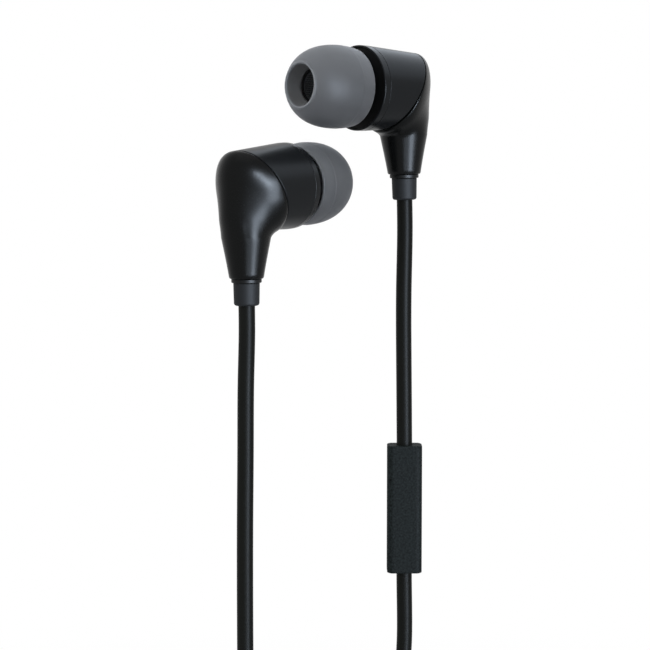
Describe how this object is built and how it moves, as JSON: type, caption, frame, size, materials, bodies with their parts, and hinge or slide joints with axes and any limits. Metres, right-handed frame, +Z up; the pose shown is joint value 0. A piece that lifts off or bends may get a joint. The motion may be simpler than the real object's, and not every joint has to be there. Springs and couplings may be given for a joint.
{
  "type": "wired earphones",
  "caption": "In-ear wired earphones with barrel housings on stems, silicone tips, an inline remote with a microphone, and a straight audio plug, the cord folded into a tied hank.",
  "frame": {"origin": "on the axis of the right ear tip, about half way along the tip, where the ear canal holds it", "axes": "+Z up along both stems, +X to the side on which the right unit hangs, +Y away from the side that the front cover of the remote faces"},
  "size_m": [0.0318, 0.0273, 0.2044],
  "materials": {
    "tip_silicone": "soft translucent grey silicone",
    "cover_black": "fine matte black",
    "mesh_steel": "fine dark woven mesh",
    "bezel_metal": "satin, polished on its edge",
    "barrel_satin": "satin dark slate",
    "frame_grey": "moulded, matte",
    "pole_steel": "turned steel",
    "magnet_plated": "nickel plated",
    "copper_wire": "enamelled copper winding",
    "cone_film": "thin film",
    "board_green": "solder mask, semi gloss",
    "lead_red": "enamelled lead",
    "shell_gloss": "satin gloss black",
    "collar_black": "satin black",
    "boot_rubber": "matte black rubber",
    "crimp_metal": "tinned",
    "remote_matte": "fine matte grain",
    "button_matte": "fine matte grain",
    "switch_cream": "moulded",
    "capsule_metal": "pressed can",
    "cord_jacket": "smooth satin jacket",
    "splitter_rubber": "matte moulded rubber",
    "tie_strap": "soft matte strap",
    "grip_matte": "fine matte",
    "core_white": "inner mould",
    "jack_gold": "gold plated, polished",
    "insulator_black": "moulded"
  },
  "bodies": {
    "headset": {"right_front_cover": "cover_black", "right_nozzle_mesh": "mesh_steel", "right_bezel": "bezel_metal", "right_barrel": "barrel_satin", "right_driver_frame": "frame_grey", "right_yoke": "pole_steel", "right_magnet": "magnet_plated", "right_top_plate": "pole_steel", "right_terminal_board": "board_green", "right_lead_wires": "lead_red", "right_back_shell": "shell_gloss", "right_collar": "collar_black", "right_boot": "boot_rubber", "right_cord_crimp": "crimp_metal", "left_front_cover": "cover_black", "left_nozzle_mesh": "mesh_steel", "left_bezel": "bezel_metal", "left_barrel": "barrel_satin", "left_driver_frame": "frame_grey", "left_yoke": "pole_steel", "left_magnet": "magnet_plated", "left_top_plate": "pole_steel", "left_terminal_board": "board_green", "left_lead_wires": "lead_red", "left_back_shell": "shell_gloss", "left_collar": "collar_black", "left_boot": "boot_rubber", "left_cord_crimp": "crimp_metal", "remote_front_cover": "remote_matte", "remote_rear_cover": "remote_matte", "remote_circuit_board": "board_green", "remote_switch": "switch_cream", "microphone_capsule": "capsule_metal", "remote_cord_crimps": "crimp_metal", "left_cord": "cord_jacket", "right_upper_cord": "cord_jacket", "right_lower_cord": "cord_jacket", "main_cord": "cord_jacket", "cord_hank": "cord_jacket", "y_splitter": "splitter_rubber", "hank_tie": "tie_strap", "plug_strain_relief": "boot_rubber", "plug_grip": "grip_matte", "plug_core": "core_white", "jack_sleeve": "jack_gold", "jack_ring_2": "jack_gold", "jack_ring_1": "jack_gold", "jack_tip": "jack_gold", "jack_insulators": "insulator_black"},
    "right_tip": {"right_ear_tip": "tip_silicone"},
    "left_tip": {"left_ear_tip": "tip_silicone"},
    "right_cone": {"right_voice_coil": "copper_wire", "right_diaphragm": "cone_film"},
    "left_cone": {"left_voice_coil": "copper_wire", "left_diaphragm": "cone_film"},
    "button": {"remote_button": "button_matte"}
  },
  "joints": [
    {"name": "right_tip_pull", "type": "slide", "parent": "headset", "child": "right_tip", "axis": [-0.7546, -0.6559, 0.0192], "range_m": [0, 0.0065]},
    {"name": "left_tip_pull", "type": "slide", "parent": "headset", "child": "left_tip", "axis": [0.6148, 0.7869, 0.0541], "range_m": [0, 0.0065]},
    {"name": "right_cone_stroke", "type": "slide", "parent": "headset", "child": "right_cone", "axis": [-0.7546, -0.6559, 0.0192], "range_m": [-0.00015, 0.00015], "stiffness_N_per_m": 90},
    {"name": "left_cone_stroke", "type": "slide", "parent": "headset", "child": "left_cone", "axis": [0.6148, 0.7869, 0.0541], "range_m": [-0.00015, 0.00015], "stiffness_N_per_m": 90},
    {"name": "button_press", "type": "slide", "parent": "headset", "child": "button", "axis": [0, -1, 0], "range_m": [0, 0.00025], "stiffness_N_per_m": 1500, "springref_m": -0.0002}
  ]
}
